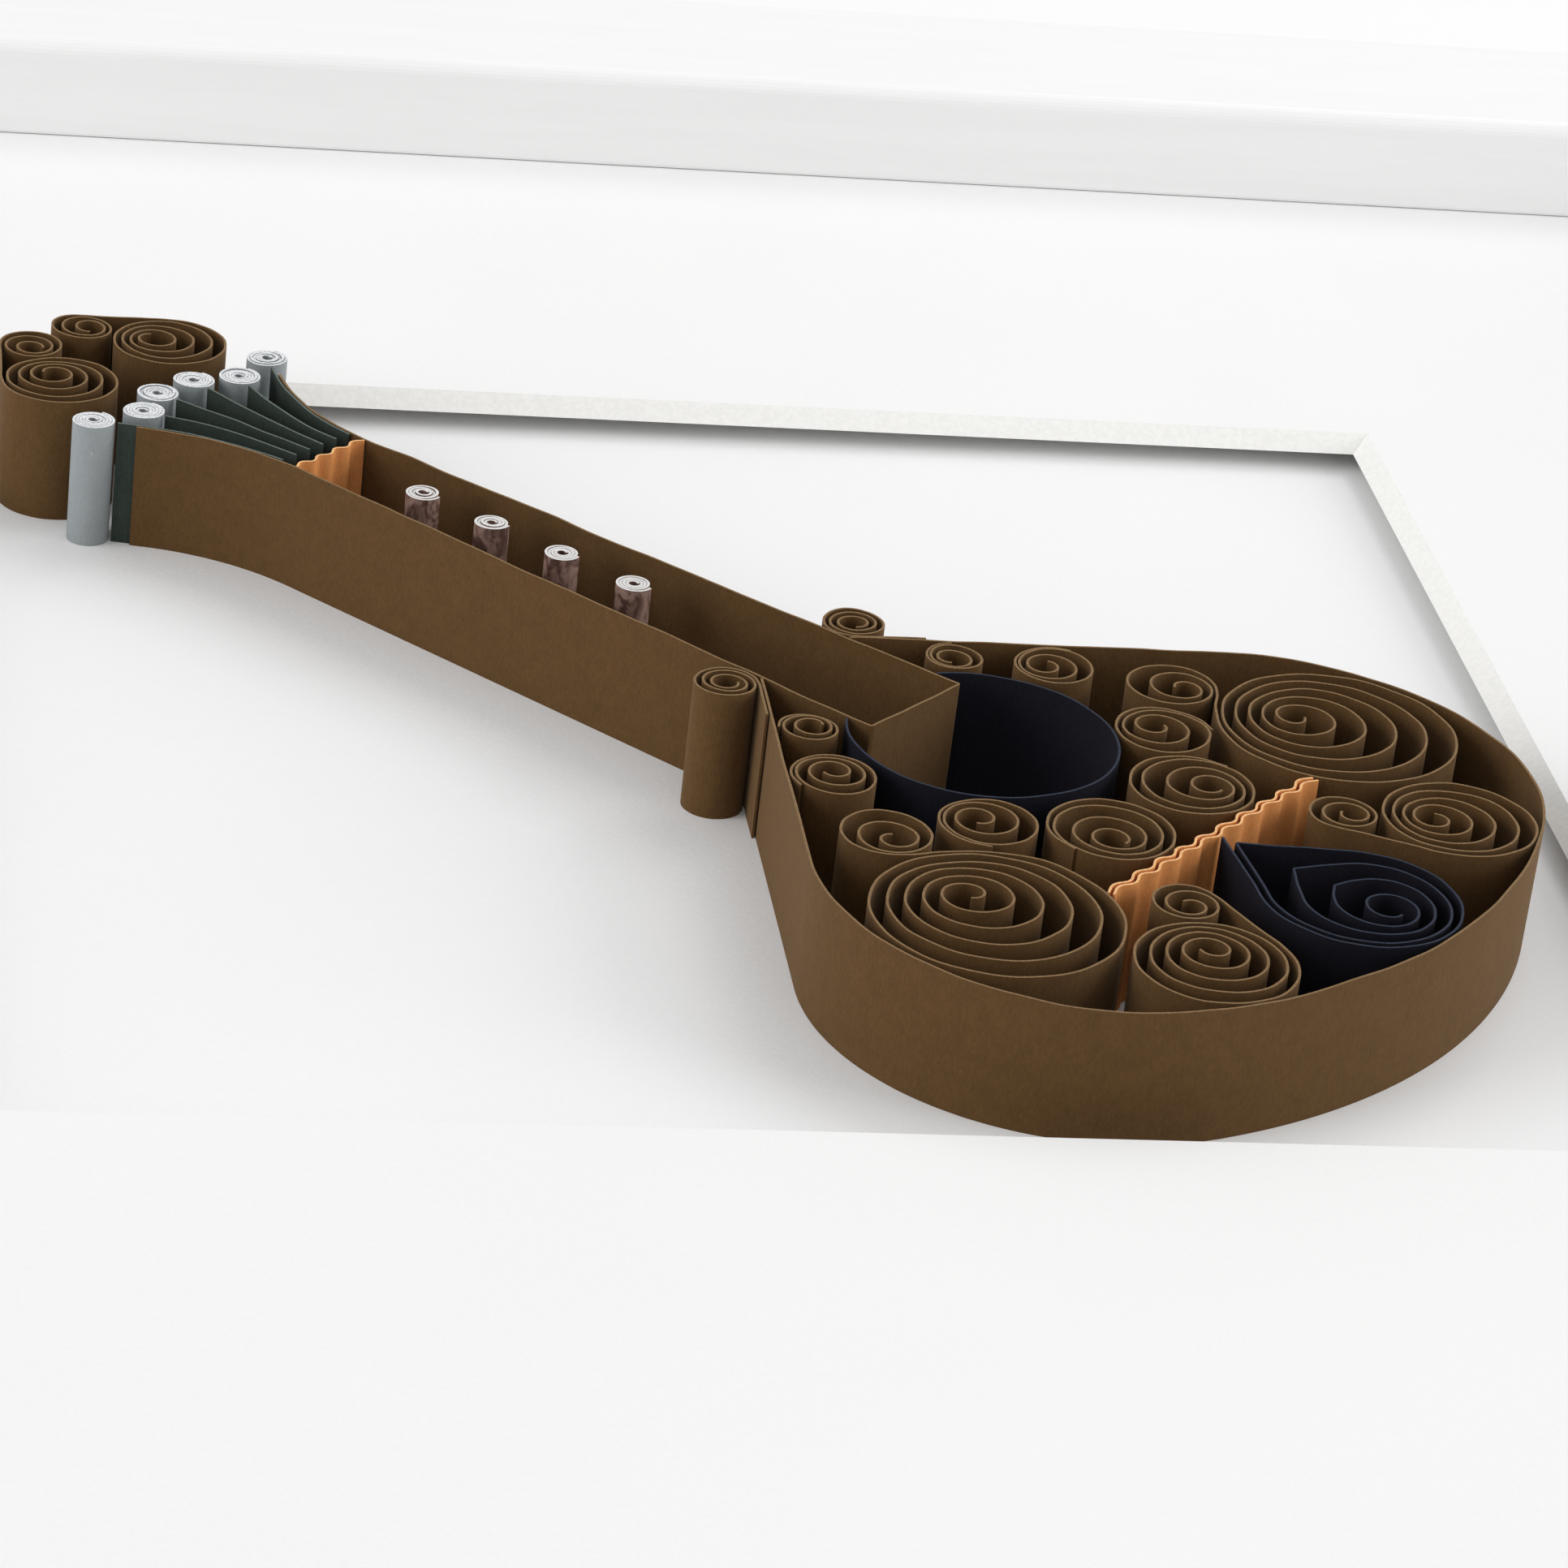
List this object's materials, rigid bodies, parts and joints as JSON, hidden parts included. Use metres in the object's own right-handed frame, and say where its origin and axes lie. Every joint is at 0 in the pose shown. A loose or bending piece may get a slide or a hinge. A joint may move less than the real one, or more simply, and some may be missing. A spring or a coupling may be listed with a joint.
{
  "type": "framed quilled paper art",
  "caption": "White box frame with a bevelled window mat, holding a paper guitar quilled from strips on edge: coils, scrolls, ridged strips and tight rolls glued to a card.",
  "frame": {"origin": "middle of the frame's back plane, on which it lies", "axes": "+Z out of the picture's front, +Y to the top of the frame, +X to its right side"},
  "size_m": [0.274, 0.282, 0.0225],
  "materials": {
    "white_wood": "satin white paint on wood",
    "mat_board": "white mat board with a cream core",
    "backing_card": "smooth white card",
    "foam": "white closed-cell foam",
    "hardboard": "brown pressed hardboard",
    "zinc_steel": "bright zinc plating",
    "kraft_paper": "matt brown kraft paper",
    "navy_paper": "matt navy paper",
    "apricot_paper": "ridged apricot paper",
    "slate_paper": "matt slate-green paper",
    "grey_paper": "matt blue-grey paper",
    "marbled_paper": "white paper marbled brown"
  },
  "bodies": {
    "root": {"back_panel": "hardboard", "backing_card": "backing_card", "body_outline": "kraft_paper", "bottom_rail": "white_wood", "bridge_front_strip": "apricot_paper", "bridge_rear_strip": "apricot_paper", "ear_scroll_lower": "kraft_paper", "ear_scroll_upper": "kraft_paper", "fret_roll_1": "marbled_paper", "fret_roll_2": "marbled_paper", "fret_roll_3": "marbled_paper", "fret_roll_4": "marbled_paper", "hanger_plate": "zinc_steel", "hanger_rivets": "zinc_steel", "head_scroll_lower": "kraft_paper", "head_scroll_upper": "kraft_paper", "inner_fan_strip_lower": "slate_paper", "inner_fan_strip_upper": "slate_paper", "inner_peg_lower": "grey_paper", "inner_peg_upper": "grey_paper", "left_rail": "white_wood", "mat_spacers": "foam", "middle_fan_strip_lower": "slate_paper", "middle_fan_strip_upper": "slate_paper", "middle_peg_lower": "grey_paper", "middle_peg_upper": "grey_paper", "neck_strip": "kraft_paper", "notch_coil_lower": "kraft_paper", "notch_coil_upper": "kraft_paper", "nut_strip": "apricot_paper", "outer_fan_strip_lower": "slate_paper", "outer_fan_strip_upper": "slate_paper", "outer_peg_lower": "grey_paper", "outer_peg_upper": "grey_paper", "retaining_points": "zinc_steel", "right_rail": "white_wood", "rim_coil_lower": "kraft_paper", "rim_coil_upper": "kraft_paper", "shoulder_coil_lower": "kraft_paper", "shoulder_coil_upper": "kraft_paper", "side_scroll_lower": "kraft_paper", "side_scroll_upper": "kraft_paper", "sound_hole_ring": "navy_paper", "tail_scroll_lower": "kraft_paper", "tail_scroll_upper": "kraft_paper", "tail_teardrop": "navy_paper", "top_rail": "white_wood", "waist_coil_lower": "kraft_paper", "waist_coil_upper": "kraft_paper", "window_mat": "mat_board"}
  },
  "joints": []
}
